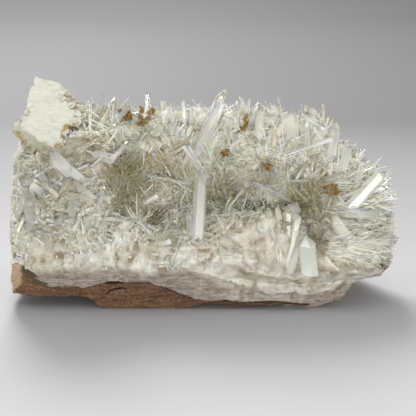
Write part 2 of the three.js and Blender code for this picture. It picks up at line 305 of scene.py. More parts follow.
QUARTZ = {
    # name: clean colour, stained colour, light let through at root, middle and tip, roughness, glow
    "clear quartz needle": ((0.98, 0.98, 0.95), (0.78, 0.73, 0.54), (0.3, 0.6, 0.85), 0.07, 0.5),
    "clear quartz crystal": ((0.97, 0.97, 0.94), (0.9, 0.86, 0.72), (0.4, 0.75, 0.88), 0.04, 0.4),
    "grey glassy quartz": ((0.93, 0.93, 0.88), (0.7, 0.66, 0.52), (0.2, 0.55, 0.8), 0.12, 0.5),
    "cloudy quartz blade": ((0.88, 0.865, 0.78), TAN, (0.0, 0.25, 0.5), 0.15, 0.8),
    "pale quartz crystal": ((0.94, 0.95, 0.9), TAN, (0.2, 0.5, 0.8), 0.08, 0.6),
    "cream quartz crystal": ((0.84, 0.825, 0.73), TAN, (0.0, 0.15, 0.45), 0.2, 0.8),
    "frosted quartz needle": ((0.95, 0.955, 0.87), OLIVE, (0.0, 0.0, 0.1), 0.2, 0.0),
    "sugary quartz grain": ((0.84, 0.825, 0.745), TAN, (0.0, 0.05, 0.2), 0.35, 0.9),
}
finishes = [quartz_crystal(name, *row) for name, row in QUARTZ.items()]
NEEDLE, CRYSTAL, GLASSY, BLADE, PALE, CREAM, FROSTED, SUGAR = finishes
print("quartz finishes:", list(QUARTZ))

# %% [markdown]
# ### Milky quartz, rock, feldspar and ochre
# These are opaque or nearly so. Paint would first need the surface laid out flat, so the grain comes from
# noise on Object coordinates, and sits in the stone as it does in the real one. Numbers on the mesh say
# where the hollows, cracks, stains and pits are.

# %% Milky quartz finish


def milky_quartz():
    """White, with tan in its hollows, olive in its recesses that is partly the stone's tint and partly
    painted shade, and grey and cracked on its wall.
    """
    finish = glowing("milky quartz", 0.8, (1.0, 0.9, 0.7))
    whites = ((0.35, (0.56, 0.53, 0.43)), (0.5, (0.69, 0.68, 0.6)), (0.65, (0.79, 0.79, 0.73)))
    finish.colour = finish.ramp(finish.noise(7, detail=6.0, roughness=0.7), *whites)
    finish.cover(finish.ramp(finish.noise(11), (0.5, 0.0), (0.62, 0.7)), (0.5, 0.45, 0.34))
    uneven = finish.ramp(finish.noise(5), (0.35, 0.3), (0.65, 1.4))
    spread = finish.node("Math", links={0: finish.output("hollow"), 1: uneven}, operation="MULTIPLY")
    finish.cover(finish.ramp(spread.outputs["Value"], (0.2, 0.0), (0.7, 0.9)), (0.27, 0.19, 0.1))
    # Olive-brown in the recesses and under the block: the stone's tint with painted shade in it.
    olive_tint_and_painted_shade = finish.ramp(finish.noise(1.6), (0.35, (0.18, 0.15, 0.08)), (0.6, (0.42, 0.38, 0.24)))
    finish.cover("recess", olive_tint_and_painted_shade)
    level = finish.squeezed(6)
    greys = ((0.3, (0.15, 0.12, 0.09)), (0.5, (0.33, 0.29, 0.24)), (0.7, (0.46, 0.42, 0.365)))
    layers = finish.ramp(finish.noise(7, detail=6.0, roughness=0.75, place=level), *greys)
    cracks = finish.noise(9, detail=7.0, roughness=0.7, place=level)
    cracks = finish.ramp(cracks, (0.46, 0.0), (0.5, 0.75), (0.53, 0.0))
    finish.cover("wall", finish.mix(cracks, layers, (0.12, 0.07, 0.04)))
    finish.link("Roughness", finish.ramp(finish.noise(1.2), (0.3, 0.3), (0.7, 0.6)))
    finish.bump(finish.noise(0.9, detail=3.0), 0.45)
    return finish.material


MILKY = milky_quartz()

# %% Rock, feldspar and ochre finishes


def brown_rock():
    """Brown level streaks with dark and golden flecks, a paler left end that is painted light, a greenish
    stain and dark cracks.
    """
    finish = Finish("brown host rock", Roughness=0.9, Specular_IOR_Level=0.25)
    streaks = finish.noise(6, roughness=0.7, place=finish.squeezed(5))
    browns = ((0.3, (0.062, 0.031, 0.017)), (0.5, (0.13, 0.07, 0.039)), (0.7, (0.215, 0.125, 0.073)))
    finish.colour = finish.ramp(streaks, *browns)
    # Painted light: the left end face is made lighter.
    finish.cover("painted_lit_end", (0.47, 0.34, 0.225))
    dark = finish.ramp(finish.noise(0.7, roughness=0.8), (0.38, 0.65), (0.52, 0.0))
    finish.cover(dark, (0.045, 0.024, 0.014))
    # Golden mica flecks: the grains are real, and their glints are painted into the colour.
    golden = finish.ramp(finish.noise(1.1, roughness=0.8), (0.54, 0.0), (0.62, 0.6))
    finish.cover(golden, (0.33, 0.2, 0.1))
    finish.cover("stain", (0.07, 0.062, 0.032))
    finish.cover("crack", (0.02, 0.013, 0.009))
    finish.bump(finish.noise(0.8, roughness=0.75), 0.3)
    return finish.material


def cream_feldspar():
    """Chalky cream with faint level streaks, greyer low on the left with painted shade, and tan in its pits.
    """
    finish = Finish("cream feldspar", Roughness=0.85)
    streaks = finish.noise(4, roughness=0.75, place=finish.squeezed(5))
    creams = ((0.3, (0.58, 0.565, 0.45)), (0.5, (0.665, 0.665, 0.575)), (0.7, (0.71, 0.71, 0.625)))
    finish.colour = finish.ramp(streaks, *creams)
    # Painted shade: the lower left of the face is darker.
    finish.cover("painted_low_shade", (0.43, 0.42, 0.32))
    tans = ((0.42, (0.56, 0.42, 0.2)), (0.58, (0.26, 0.14, 0.04)))
    spotted = finish.ramp(finish.noise(0.8, roughness=0.7), *tans)
    finish.cover(finish.ramp("pit", (0.2, 0.0), (0.8, 0.9)), spotted)
    finish.bump(finish.noise(0.8, roughness=0.7), 0.2)
    return finish.material


def ochre():
    """Granular iron carbonate, from dark brown to golden."""
    finish = Finish("ochre grains", Roughness=0.55)
    tones = ((0.35, (0.1, 0.05, 0.01)), (0.5, (0.27, 0.155, 0.03)), (0.65, (0.52, 0.34, 0.09)))
    finish.link("Base Color", finish.ramp(finish.noise(1.0), *tones))
    return finish.material


ROCK, FELDSPAR, OCHRE = brown_rock(), cream_feldspar(), ochre()
print("finishes:", [material.name for material in bpy.data.materials])

# %% [markdown]
# ## The shape of the bed
# The solid part has a coarse bed. A finer one could be sculpted over it, but would drift from it, so this one
# follows the same formulas: a low front ledge, a steep climb, a rounded crest that falls to the right end,
# and a few hills and hollows.

# %% The bed's formulas
LEFT, RIGHT, FRONT, BACK = -86.0, 88.0, -44.0, 44.0
CREST, LEDGE, THICKET = 67.0, 14.0, 8.0
SLAB, SLAB_THIN, SLAB_RIGHT = 12.0, 3.2, 47.0
LEFT_LIFT, EDGE_LIFT, LIP_RISE = 5.0, 1.8, 16.0
HILLS = [
    # middle x, y, rise, half width, half depth
    ((-34, -33), 14, 11, 7),  # sugary white hump at the front
    ((-23, -22), -7, 8, 7),  # hollow behind that hump
    ((-4, -33), 3, 8, 6),  # knob that carries the tall crystal
    ((28, -10), -14, 15, 9),  # recess right of the middle
    ((-20, -10), -9, 14, 8),  # recess left of the middle
    ((-8, 16), 3, 26, 12),  # crown
    ((58, -29), 6, 11, 6),  # knob at the right front
    ((28, -27), 12, 15, 6),  # mass that the blades rise from
    ((-58, 24), -5, 16, 12),  # dip behind the feldspar block
]


def bell(x, y, at, wide, deep):
    """1 at the middle of a hill or a stain, falling to 0 round it as exp(-distance^2)."""
    return np.exp(-(((x - at[0]) / wide) ** 2) - ((y - at[1]) / deep) ** 2)


def seam_height(x, y):
    """Top of the host rock: thick at the left, thin at the right, rising to the back."""
    taper = fade(x, -30, 4)
    left_lip = fade(x, LEFT, -68)
    back_rise = smoothstep(y, -30, 36) * fade(x, 10, SLAB_RIGHT)
    return SLAB_THIN + (SLAB - SLAB_THIN) * taper + 8 * left_lip + 10 * back_rise


def bed_front(x):
    """The front edge, drawn in a little at both ends."""
    return FRONT + 10 * smoothstep(x, 62, 92) + 4 * fade(x, LEFT, -74)


def bed_back(x, high):
    """The back edge, drawn in at both ends and towards the top."""
    return BACK - 16 * smoothstep(x, 40, 90) - 4 * fade(x, LEFT, -60) - 7 * high


def bed_top(x, y):
    """Height of the milky bed: ledge, climb and crest, with a bell for each hill."""
    ledge = LEDGE + 11 * smoothstep(y, -45, -33) * (1 - 0.8 * smoothstep(x, 5, 30))
    leftness = fade(x, -50, -32)
    climb = smoothstep(y, lerp(-25, -43, leftness), lerp(11, -9, leftness))
    crest = CREST - 42 * smoothstep(x, 46, 92) - 12 * smoothstep(y, 26, 44)
    height = lerp(ledge, crest, climb)
    for at, rise, wide, deep in HILLS:
        height = height + rise * bell(x, y, at, wide, deep)
    thick = smoothstep(y, -34, -20) * fade(y, 34, 44) * smoothstep(x, LEFT, -74)
    return height + THICKET * thick * fade(x, 66, 84)


def bed_underside(x, y):
    """Inside the host rock at the left, on its own foot, then rising to the right tip."""
    steep = 0.7 * smoothstep(x, 60, 71)
    gentle = 0.3 * smoothstep(x, 71, 92)
    edge = EDGE_LIFT * fade(y, -42, -37) * (1 - 0.6 * smoothstep(x, 42, 50))
    foot = LIP_RISE * (steep + gentle) + edge
    return lerp(seam_height(x, y) - 1.5, foot, smoothstep(x, 36, 43))


print("bed height at the middle:", round(float(bed_top(0.0, 0.0)), 1), "mm")

# %% [markdown]
# ## The skin of a stone
# Bed, slab and block are closed skins. A height map would leave their walls without points, so a skin is a
# row of loops instead. On the bed a loop runs up the front, over the top, down the back and home along the
# foot, and the loops follow each other from left to right. The end loops shrink to a point.

# %% Loops to a closed skin
CAP_ROWS = 12


def skin_faces(rows, columns):
    """Four-cornered faces between neighbouring loops, and a fan of triangles at each end."""
    row = np.arange(rows - 1)[:, None] * columns
    column = np.arange(columns)[None, :]
    after = (column + 1) % columns
    quads = np.stack([row + column, row + after, row + columns + after, row + columns + column], axis=-1)
    start, end = rows * columns, rows * columns + 1
    column, after = column.ravel(), after.ravel()
    first = np.stack([np.full(columns, start), after, column], axis=-1)
    last_row = (rows - 1) * columns
    last = np.stack([np.full(columns, end), last_row + column, last_row + after], axis=-1)
    return [quads.reshape(-1, 4), np.concatenate([first, last])]


def end_rows(count):
    """Places of the loops from 0 to 1, and their sizes: at each end a few more loops shrink to the middle."""
    along = np.concatenate([np.zeros(CAP_ROWS), np.linspace(0, 1, count), np.ones(CAP_ROWS)])
    growing = (np.arange(CAP_ROWS) + 0.5) / CAP_ROWS
    return along[:, None], np.concatenate([growing, np.ones(count), growing[::-1]])


def loop_shares(columns):
    """How far back and how far up the points of a loop lie, from 0 to 1, on its four stretches."""
    up, back = (np.linspace(0, 1, count, endpoint=False) for count in columns[:2])
    down, forward = (np.linspace(1, 0, count, endpoint=False) for count in columns[2:])
    deep = np.concatenate([up * 0, back, down * 0 + 1, forward])
    high = np.concatenate([up, back * 0 + 1, down, forward * 0])
    return deep[None, :], high[None, :]


def closed_skin(x, y, z, size, rounds):
    """Points and faces of a skin. Each point is the mean of itself, twice, and its neighbours on the loop, a
    few rounds over, which softens corners. Then each loop takes its size, and a centre closes each end."""
    loops = np.stack(np.broadcast_arrays(x, y, z), axis=-1)
    for _ in range(rounds):
        loops = (np.roll(loops, 1, axis=1) + 2 * loops + np.roll(loops, -1, axis=1)) / 4
    middle = loops.mean(axis=1, keepdims=True)
    loops = middle + (loops - middle) * size[:, None, None]
    points = np.concatenate([loops.reshape(-1, 3), [loops[0].mean(axis=0)], [loops[-1].mean(axis=0)]])
    return points, skin_faces(*loops.shape[:2])


print("faces of a small skin:", [len(group) for group in skin_faces(3, 4)])

# %% [markdown]
# ## The milky bed
# Under the needles the quartz is a lumpy, sugary crust, and below that a broken grey wall. A bumpy finish
# could fake the lumps, but not their outline, so they are in the mesh: smooth noise without its sign has
# rounded lumps with sharp creases, and is laid on in three sizes.

# %% The bed's skin
BED_ROWS = 260
BED_COLUMNS = (34, 230, 30, 22)


def bed_skin():
    """The bed's closed skin: across goes left to right, deep and high go round each loop."""
    across, size = end_rows(BED_ROWS)
    deep, high = loop_shares(BED_COLUMNS)
    deep = deep + 0.09 * np.sin(2 * np.pi * deep) / np.pi
    x = lerp(LEFT, RIGHT - 64 * (deep - 0.35) ** 2, across)
    y = lerp(bed_front(x), bed_back(x, high), deep)
    return closed_skin(x, y, lerp(bed_underside(x, y), bed_top(x, y), high), size, 5)


bed_points, bed_faces = bed_skin()
bed_points[:, 2] += 7 * bell(bed_points[:, 0], bed_points[:, 1], (26, -22), 20, 6)
print("bed points:", len(bed_points))

# %% The sugary crust


def popcorn(points, size, seed):
    """Rounded lumps with sharp creases, from 0 to 1: smooth noise without its sign."""
    return np.clip(1.8 * np.abs(value_noise(points, size, seed)), 0, 1)


def wall_top(x):
    """Height where the sugary crust ends above the broken grey wall."""
    fall = 8 * smoothstep(x, -10, 20) + 1.5 * smoothstep(x, 30, 50)
    return 16.5 - fall + 5 * smoothstep(x, 54, 63) + 4.5 * smoothstep(x, 63, 88)


def crusted(points):
    """Swells everywhere, and lumps of three sizes, strongest in front. Also how hollow each point is."""
    x, y, z = points.T
    swell = swells(points, 18, 11, 3, 31)
    front = fade(y, -34, -14)
    high = smoothstep(z - wall_top(x), -1, 5)
    bent = points + 2 * swell
    large, middle, small = (popcorn(bent, size, seed) for size, seed in ((9, 3), (4.6, 7), (2.4, 9)))
    mass = smoothstep(x, 2, 14) * fade(y, -26, -14) * high
    lumps = mass * (1.5 + 2.5 * popcorn(bent, 13, 13)) + (3.4 - mass) * front * high * large
    lumps += (0.5 + 2.6 * front * high + 0.6 * mass) * middle + (0.8 + 0.9 * front * high) * small
    hollow = np.clip(1.25 - 0.7 * large - 0.8 * middle - 0.5 * small, 0, 1)
    hollow = lerp(hollow, 0.42, 0.9 * mass)
    out = points - np.array([0, 18, 24])
    out /= np.linalg.norm(out, axis=-1, keepdims=True)
    return points + 1.6 * swell + out * (lumps - 1.8)[:, None], hollow


bed_points, hollow = crusted(bed_points)
print("share of the crust in hollows:", round(float((hollow > 0.5).mean()), 2))

# %% The wall and the recesses
# Where the bed is darkened to olive and tan: partly the stone's tint, partly painted shade in the recesses
# and under the block.
RECESSES = (
    # strength, middle x, y, half width, half depth
    (0.7, (51, -25), 8, 8),
    (1, (-20, -10), 17, 12),
    (1, (28, -10), 20, 11),
    (0.7, (-70, -26), 16, 16),
)
x, y, z = bed_points.T
below = fade(z - wall_top(x), -2, 0.5)
bed_points[:, 1] += 1.5 * below * smoothstep(x, 40, 56) * fade(y, -30, -20)
above = np.clip(z - wall_top(x), 0, 7)
bed_points[:, 1] += 0.8 * above * fade(y, -40, -32) * smoothstep(x, -12, 12)
bed_points[:, 2] = np.maximum(z, 0)
wall = fade(z - wall_top(x) - 1.6 * rough_noise(bed_points, 7, 31, 4), -2, 3.5)
wall *= 1 - 0.35 * smoothstep(x, 2, 18) * fade(x, 40, 50)
recess = sum(strength * bell(x, y, *place) for strength, *place in RECESSES)
recess += 0.8 * bell(x, y, (-29, -32), 6, 7) * smoothstep(z, 23, 28)
values = {"hollow": hollow, "wall": wall, "recess": np.clip(1.3 * recess, 0, 0.9)}
new_piece("milky_bed", bed_points, bed_faces, MILKY, ("quartz_cluster",), True, values)

# %% [markdown]
# ## Where crystals can root
# Crystals stand on the bed's skin and point away from it. They are too many to set one by one, so the middle,
# outward direction and area of every face are kept, and crystals root on faces picked at random, large ones
# more often.

# %% Faces to root on
corner = bed_points[bed_faces[0]]
face_middle = corner.mean(axis=1)
face_out = np.cross(corner[:, 2] - corner[:, 0], corner[:, 3] - corner[:, 1])
face_area = np.linalg.norm(face_out, axis=-1) / 2
face_out = face_out / (2 * face_area[:, None] + 1e-9)
print("skin area:", round(face_area.sum() / 100), "square cm")

# %% [markdown]
# ## Crystals
# A quartz crystal is a six-sided prism with a six-faced point. Modelling each would take days, so one
# function makes thousands at a time. It takes arrays of roots, tips and radii, and gives each crystal
# thirteen points: a ring at the root, a ring at the shoulder and a tip.

# %% Many crystals at once


def unit(vectors):
    """The vectors at length one."""
    return vectors / np.maximum(np.linalg.norm(vectors, axis=-1, keepdims=True), 1e-9)


def crystal_arrays(dice, roots, tips, radii, flat=1.0, point=1.5, uneven=0.3, sides=6):
    """Points, faces and along of many crystals. A ring's corners stand evenly round the axis, squeezed by
    flat. The shoulder's corners lie at uneven heights and the tip off the axis, as on a real crystal, whose
    end faces grow at different speeds. The finest needles do with three sides."""
    count = len(roots)
    length = np.linalg.norm(tips - roots, axis=-1)
    axis = unit(tips - roots)
    helper = np.where(np.abs(axis[:, 2:]) > 0.9, [[1.0, 0, 0]], [[0, 0, 1.0]])
    side = unit(np.cross(axis, helper))
    other = np.cross(axis, side)
    turn = dice.uniform(0, math.tau, (count, 1))
    side, other = side * np.cos(turn) + other * np.sin(turn), other * np.cos(turn) - side * np.sin(turn)
    angle = np.arange(sides) * math.tau / sides
    wide = radii[:, None] * dice.uniform(0.8, 1.15, (count, sides))
    deep = wide * np.broadcast_to(flat, count)[:, None]
    ring = side[:, None] * (np.cos(angle) * wide)[..., None]
    ring = ring + other[:, None] * (np.sin(angle) * deep)[..., None]
    peak = np.minimum(point * radii, 0.5 * length)[:, None]
    drop = peak * (1 + uneven * dice.uniform(-1, 1.8, (count, sides)))
    drop = np.minimum(drop, 0.85 * length[:, None])
    shoulder = roots[:, None] + axis[:, None] * (length[:, None] - drop)[..., None] + 0.9 * ring
    tip = roots + axis * length[:, None] + ring[:, 0] * dice.uniform(-0.4, 0.4, (count, 1))
    points = np.concatenate([roots[:, None] + ring, shoulder, tip[:, None]], axis=1)
    shares = [np.zeros((count, sides)), 1 - drop / length[:, None], np.ones((count, 1))]
    k = np.arange(sides)
    after = (k + 1) % sides
    walls = np.stack([k, after, after + sides, k + sides], axis=-1)
    ends = np.stack([k + sides, after + sides, np.full(sides, 2 * sides)], axis=-1)
    base = np.arange(count)[:, None, None] * (2 * sides + 1)
    foot = (k[None, ::-1] + base).reshape(-1, sides)
    faces = [(walls + base).reshape(-1, 4), (ends + base).reshape(-1, 3), foot]
    return points.reshape(-1, 3), faces, np.concatenate(shares, axis=1).ravel()


def crystal_piece(name, dice, roots, tips, radii, material, shade, **options):
    """Crystals joined in one mesh, with flat faces. shade is how stained each crystal is, from 0 to 1, and
    where it is high, in the recesses and under the block, it is partly painted shade.
    """
    points, faces, along = crystal_arrays(dice, roots, tips, radii, **options)
    shade = np.repeat(np.broadcast_to(shade, len(roots)), len(points) // len(roots))
    values = {"along": along, "shade": shade}
    new_piece(name, points, faces, material, ("quartz_cluster",), values=values)


def placed_crystals(name, seed, rows, material, shade, **options):
    """Crystals set one by one, from rows that hold a root, a tip, a radius and a flatness."""
    roots, tips, (radii, flat) = np.split(np.array(rows, float).T, [3, 6])
    dice = np.random.default_rng(seed)
    crystal_piece(name, dice, roots.T, tips.T, radii, material, shade, flat=flat, **options)


print("points of a six-sided crystal:", 2 * 6 + 1)

# %% [markdown]
# ## The crystals a viewer would know again
# Some crystals stand out, such as the tall one that leans out of the crest and those that reach out at the
# right end. Scattering would never put them right, so each is set one by one, as a root, a tip, a radius and
# a flatness. The clear ones come first.

# %% Clear crystals, one by one
LARGE = [
    # root x, y, z, tip x, y, z, radius, flatness
    (-6.5, -30, 22, -7.5, -34, 44, 2.4, 0.8),
    (36, -38, 9, 45, -34, 36, 2.2, 1),
    (-66, -30, 30, -77, -41, 34, 2.2, 1),
    (-62, -30, 32, -57, -40, 50, 2.0, 0.9),
    (-84, -24, 24, -84.5, -18, 66, 3.4, 0.8),
    (-77, -30, 26, -80, -36, 52, 4.2, 0.7),
    (-72, -22, 36, -73, -30, 60, 3.6, 0.8),
    (-50, -28, 38, -45, -36, 55, 1.3, 0.8),
    (-64, -24, 44, -60, -32, 66, 3.0, 0.8),
    (-5, 0, 60, 8.4, -11, 94, 4.4, 0.7),
    (-28, 12, 64, -27.5, 14, 90, 1.3, 1),
    (16, 8, 62, 14.8, 0, 88.3, 1.0, 1),
    (16, 6, 62, 24.8, -2, 87.5, 1.4, 1),
    (48, 2, 79, 56, 2, 74.5, 1.0, 1),
    (55, 2, 73, 62, 2, 77.3, 1.4, 1),
    (60, 0, 62, 61.7, 0, 77, 1.5, 1),
    (68, -8, 40, 74, -6, 62.5, 2.1, 1),
    (66, -12, 35, 85, -14, 46, 0.9, 1),
    (64, -15, 38, 83, -18, 37, 2.1, 0.8),
    (9, 0, 56, 16.5, -16, 47, 2.3, 0.7),
    (-8, -8, 50, -27, -15, 55.5, 1.0, 1),
    (40, -6, 42, 21, -15, 52.5, 1.1, 1),
    (-10, -10, 68, -3, -18, 58.5, 1.0, 1),
    (-7.5, -10, 68, -1, -18, 59, 0.8, 1),
    (11, -6, 66, 21, -4, 75, 1.0, 1),
    (58, -8, 71, 35, -14, 64, 1.2, 1),
]
placed_crystals("large_crystals", 1, LARGE, CRYSTAL, 0.0, point=1.1)

# %% [markdown]
# ## Pale, cream and cloudy crystals, one by one
# Pale ones stand on the crest and in front, among them the tall one and the broad chisel. A sheaf of cream
# ones rises at the right front, and a few cloudy blades stand beside it and behind the block. They could
# share one finish, but their clouding differs, so each kind is a piece with its own.

# %% Pale, cream and cloudy crystals
PALE_ROWS = [
    (-4, -31, 24, -2, -35, 61.5, 5.2, 0.6),
    (-55, -26, 54, -69, -37, 70, 3.6, 0.7),
    (-51.5, 5, 64, -52.5, 6, 86, 3.2, 0.8),
    (-47, 5, 64, -47.5, 6, 84.5, 2.6, 0.8),
    (-13, 6, 68, -17.5, 10, 85.5, 2.2, 0.8),
    (-9, 8, 68, -10.6, 10, 87, 1.2, 1),
    (-6, 6, 68, -7.2, 8, 85, 1.9, 0.9),
    (25, 4, 70, 25.5, 6, 84.5, 2.2, 0.8),
    (42, 6, 58, 39, -1, 84.5, 4.4, 0.7),
    (48, 6, 58, 46.5, -1, 80, 3.2, 0.8),
    (36, 4, 60, 34, 8, 80.5, 3.2, 0.7),
    (52, 6, 56, 49.5, 9, 81, 3.2, 0.8),
    (57, 4, 52, 59.5, -2, 76.5, 3.2, 0.8),
    (62, 2, 48, 67.5, -3, 68, 3.2, 0.7),
    (66, -12, 38, 83, -12, 57.5, 3.6, 0.8),
    (74, -14, 23, 89.5, -16, 26, 4.6, 0.8),
    (30, -24, 18, 41, -28, 46, 4.4, 0.45),
    (40, -32, 18, 44.5, -33, 33, 1.8, 0.6),
    (47, -35, 11, 45, -41, 33.5, 4.8, 0.65),
]
SHEAF = [
    (33, -30, 16, 24, -27, 39, 3.6, 0.6),
    (34, -31, 14, 28.5, -28, 43, 3.4, 0.6),
    (35, -32, 13, 33, -28, 45, 3.6, 0.5),
    (36, -31, 14, 37.5, -28, 44, 3.4, 0.6),
    (36, -33, 12, 41.5, -29, 41, 3.2, 0.6),
    (30, -30, 16, 19, -28, 34, 4.2, 0.6),
    (26, -30, 14, 14, -29, 31, 4.4, 0.7),
    (68, -24, 24, 57, -27, 39, 3.0, 0.5),
]
BLADES = [
    (14, -33, 14, 8, -36, 28, 6, 0.7),
    (20, -24, 24, 17, -27, 37, 5, 0.6),
    (-50, 16, 56, -52, 20, 84.5, 4.4, 0.7),
    (-44, 16, 58, -47, 18, 81, 3, 0.9),
]
placed_crystals("pale_crystals", 3, PALE_ROWS, PALE, 0.05, point=0.9)
placed_crystals("cream_crystals", 4, SHEAF, CREAM, 0.1, point=0.9, uneven=0.6)
placed_crystals("cloudy_blades", 2, BLADES, BLADE, 0.1, point=1.1, uneven=0.8)

# %% [markdown]
# ## The needles
# Thousands of fine needles hide most of the bed. Scattered evenly they would look like a brush. Real ones
# spread from one spot in sprays, so sprays are scattered first, and each then gets its needles. The ochre
# lumps stay in sight, so their places are named here, and no needle may cross in front of them.

# %% Sprays of needles
STRAY, ROOT_DEPTH = 0.2, 1.5
SIGHT_SLOPE = 0.21
TIP_MARGIN = 0.5
BLOCK_SIGHT = (-99, -99, 66), (-56, -6, 99)
OCHRE_LUMPS = [
    # middle x, y, z, size
    (-38, 10, 79.5, 3.2),
    (-28.5, 5, 79.5, 4.0),
    (20, 3, 77, 2.6),
    (9, -10, 65, 1.6),
    (29, -8, 58, 1.6),
    (58, -20, 50, 2.8),
]
FILMS_AND_PAINTED_SHADE = (
    # strength, middle x, z, half width, half height of the stained films in front, partly painted shade
    (0.6, (-20, 57), 15, 11),
    (0.45, (27, 52), 16, 8),
    (0.4, (50, 52), 7, 9),
)


def film_and_painted_shade(points):
    """How stained each point is by the thin olive and rusty films in the recesses of the front; in the two
    recesses this darkening is partly painted shade.
    """
    x, y, z = points.T
    return sum(strength * bell(x, z, *place) for strength, *place in FILMS_AND_PAINTED_SHADE) * (y < 0)


def sprays(dice, count, needles, radius, length, shade, low, high, lean=(0, 0, 0), fan=0.5, width=2.5):
    """Roots, tips, radii and shades of needles in sprays that root on the bed between two corners. A spray
    heads along the bed's outward direction plus a lean. A needle rooted off its middle leans away by the fan,
    and each strays a little on its own."""
    inside = ((face_middle > low) & (face_middle < high)).all(axis=-1)
    picked = dice.choice(np.flatnonzero(inside), count, p=face_area[inside] / face_area[inside].sum())
    heading = unit(face_out[picked] + np.array(lean) + 0.25 * dice.normal(size=(count, 3)))
    each = np.repeat(np.arange(count), needles)
    away = dice.normal(size=(len(each), 3))
    direction = unit(heading[each] + fan * away + STRAY * dice.normal(size=away.shape))
    across = away - heading[each] * (away * heading[each]).sum(axis=-1, keepdims=True)
    roots = face_middle[picked][each] + width * 0.6 * across - ROOT_DEPTH * heading[each]
    grown = dice.uniform(*length, len(each)) * dice.uniform(0.7, 1.1, count)[each]
    radii = dice.uniform(*radius, len(each)) * (0.6 + 0.4 * grown / max(length))
    # The films darken needles in the recesses: an olive tint with painted shade in it.
    shades = shade + film_and_painted_shade(roots) + 0.15 * dice.normal(size=count)[each] + 0.1 * dice.normal(size=len(each))
    return roots, roots + direction * grown[:, None], radii, np.clip(shades, 0, 1)


def before_ochre(points):
    """Whether each point hides a lump of ochre from a viewer in front, who looks down a little."""
    lumps = np.array(OCHRE_LUMPS)
    gap = points[:, None] - lumps[None, :, :3]
    reach = 1.2 * lumps[:, 3]
    beside = np.abs(gap[..., 0]) < reach
    level = np.abs(gap[..., 2] + SIGHT_SLOPE * gap[..., 1]) < reach
    return (beside & level & (gap[..., 1] < 0)).any(axis=-1)


def needle_piece(name, material, seed, *rows, **options):
    """The needles of several zones in one mesh, without those that leave the CAD box, hang below the crust or
    cross in front of the feldspar block or the ochre."""
    dice = np.random.default_rng(seed)
    grown = [sprays(dice, *numbers, **zone) for zone, *numbers in rows]
    roots, tips, radii, shades = (np.concatenate(parts) for parts in zip(*grown))
    kept = ((tips > BOX_LOW + TIP_MARGIN) & (tips < BOX_HIGH - TIP_MARGIN)).all(axis=-1)
    kept &= np.minimum(roots[:, 2], tips[:, 2]) > wall_top(tips[:, 0]) + 1
    kept &= ~((tips > BLOCK_SIGHT[0]) & (tips < BLOCK_SIGHT[1])).all(axis=-1)
    kept &= ~(before_ochre(tips) | before_ochre((roots + 2 * tips) / 3))
    print(name, "needles:", int(kept.sum()))
    crystal_piece(name, dice, roots[kept], tips[kept], radii[kept], material, shades[kept], **options)


# %% Where the needles grow
CROWN = dict(low=(-46, 0, 50), high=(36, 34, 90), lean=(0, -0.15, 0.6), fan=0.4)
BROW = dict(low=(-46, -14, 40), high=(38, 2, 90), lean=(0, -0.2, 0.2))
RECESS_LEFT = dict(low=(-42, -25, 41), high=(-6, -8, 64), fan=0.9)
RECESS_RIGHT = dict(low=(2, -17, 38), high=(56, -8, 56), fan=0.8)
LEFT_WALL = dict(low=(-90, -44, 30), high=(-44, -6, 64), fan=0.9)
UNDER_BLOCK = dict(low=(-88, -44, 48), high=(-54, -6, 74), lean=(0, -0.2, 0.8))
LEFT_BACK = dict(low=(-66, -12, 44), high=(-42, 34, 90), lean=(0, 0, 0.7))
SHOULDER = dict(low=(32, -12, 40), high=(66, 30, 90), lean=(0.2, -0.1, 0.3))
RIGHT_END = dict(low=(58, -34, 32), high=(92, 24, 60), lean=(0.5, -0.2, 0.1))
BACK_SIDE = dict(low=(-84, 30, 12), high=(80, 50, 70), lean=(0, 0.2, 0.2), fan=0.8)
LEVEL = dict(low=(54, -32, 34), high=(92, 4, 50), lean=(1.8, -0.2, 0.0), fan=0.12)
RIGHT_FACE = dict(low=(55, -44, 21), high=(92, 4, 42), lean=(1.8, -0.3, -0.2), fan=0.2)
GAP = dict(low=(6, -26, 32), high=(54, -13, 46), fan=0.7)
LOW_LEFT = dict(low=(-36, -36, 26), high=(10, -14, 42), fan=0.9)
print("crown zone from", CROWN["low"], "to", CROWN["high"])

# %% [markdown]
# ## Stubs, frosted needles and clear needles
# A row says how many sprays a zone has, how many needles each has, and their radius, length and shade. In
# front, thick ones are clear or cloudy and only fine ones frosted, because a thick white one looks like
# chalk. All could be one piece, but its file would be too heavy, so there are nine.

# %% Stubs
needle_piece(
    "glassy_stubs", GLASSY, 31,
    # zone, sprays, needles in each, radius, length, shade
    (dict(LEFT_WALL, lean=(-0.3, 0, 1.2)), 14, 2, (2.0, 3.4), (12, 18), 0.25),
    (LEFT_WALL, 30, 2, (0.7, 1.7), (7, 14), 0.25),
    (LEFT_BACK, 40, 2, (1.4, 3.6), (9, 16), 0.3),
    # Under the block the high shade is a tan tint with painted shade in it.
    (UNDER_BLOCK, 20, 3, (1.2, 2.8), (8, 15), 0.55),
    flat=0.75, point=0.8, uneven=0.5,
)
needle_piece(
    "cloudy_stubs", BLADE, 12,
    (CROWN, 90, 2, (1.2, 3.0), (7, 13), 0.06),
    (BROW, 60, 2, (1.0, 2.4), (6, 12), 0.06),
    (SHOULDER, 26, 2, (2.0, 4.2), (7, 13), 0.06),
    flat=0.65, point=0.7, uneven=0.5,
)
needle_piece(
    "pale_stubs", PALE, 20,
    (SHOULDER, 50, 3, (1.2, 2.8), (9, 15), 0.06),
    (CROWN, 50, 2, (1.0, 2.4), (8, 14), 0.06),
    (RIGHT_END, 16, 2, (1.4, 2.6), (9, 14), 0.06),
    flat=0.7, point=1.0, uneven=0.5,
)

